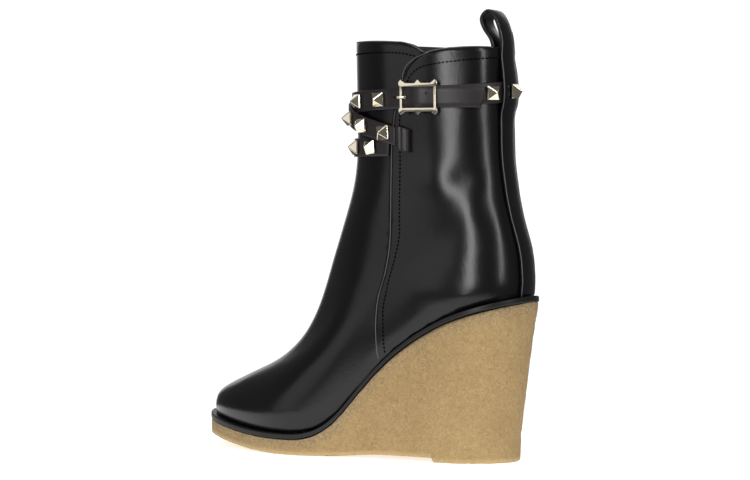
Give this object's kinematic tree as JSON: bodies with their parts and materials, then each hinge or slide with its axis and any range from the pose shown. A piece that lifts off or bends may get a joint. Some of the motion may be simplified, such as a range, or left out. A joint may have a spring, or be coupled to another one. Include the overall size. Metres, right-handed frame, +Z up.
{
  "type": "ankle boot",
  "caption": "Leather ankle boot on a crepe wedge sole, with a buckled ankle belt, pyramid studs, front bands, an inner side zip and a pull loop at the back.",
  "frame": {"origin": "on the floor, under the middle of the heel tread", "axes": "+X to the toe, +Y to the outer side of the left foot, +Z up to the collar"},
  "size_m": [0.2264, 0.085, 0.271],
  "materials": {
    "calf_leather": "smooth black calf leather, waxed to a soft shine",
    "crepe_rubber": "natural crepe rubber, mottled tan, cut and sanded edge",
    "welt_rubber": "black midsole rubber, matt",
    "lining_leather": "plain black lining leather, matt",
    "pale_gilt_metal": "pale gold plating, polished",
    "zip_teeth_metal": "brass zip teeth on black tape"
  },
  "bodies": {
    "boot": {"upper": "calf_leather", "wedge_sole": "crepe_rubber", "midsole": "welt_rubber", "insole": "lining_leather", "pull_loop": "calf_leather", "ankle_belt": "calf_leather", "lower_band": "calf_leather", "cross_band": "calf_leather", "band_fold": "calf_leather", "buckle_frame": "pale_gilt_metal", "buckle_prong": "pale_gilt_metal", "zip_chain": "zip_teeth_metal", "zip_slider": "pale_gilt_metal", "stud_01": "pale_gilt_metal", "stud_02": "pale_gilt_metal", "stud_03": "pale_gilt_metal", "stud_04": "pale_gilt_metal", "stud_05": "pale_gilt_metal", "stud_06": "pale_gilt_metal", "stud_07": "pale_gilt_metal", "stud_08": "pale_gilt_metal", "stud_09": "pale_gilt_metal", "stud_10": "pale_gilt_metal", "stud_11": "pale_gilt_metal", "stud_12": "pale_gilt_metal", "stud_13": "pale_gilt_metal", "stud_14": "pale_gilt_metal", "stud_15": "pale_gilt_metal"},
    "pull_tab": {"zip_pull": "pale_gilt_metal"}
  },
  "joints": [
    {"name": "zip_pull_swing", "type": "hinge", "parent": "boot", "child": "pull_tab", "pos_m": [0.04217, -0.03804, 0.23848], "axis": [-0.9993, -0.0053, -0.0371], "range_deg": [0, 150]}
  ]
}
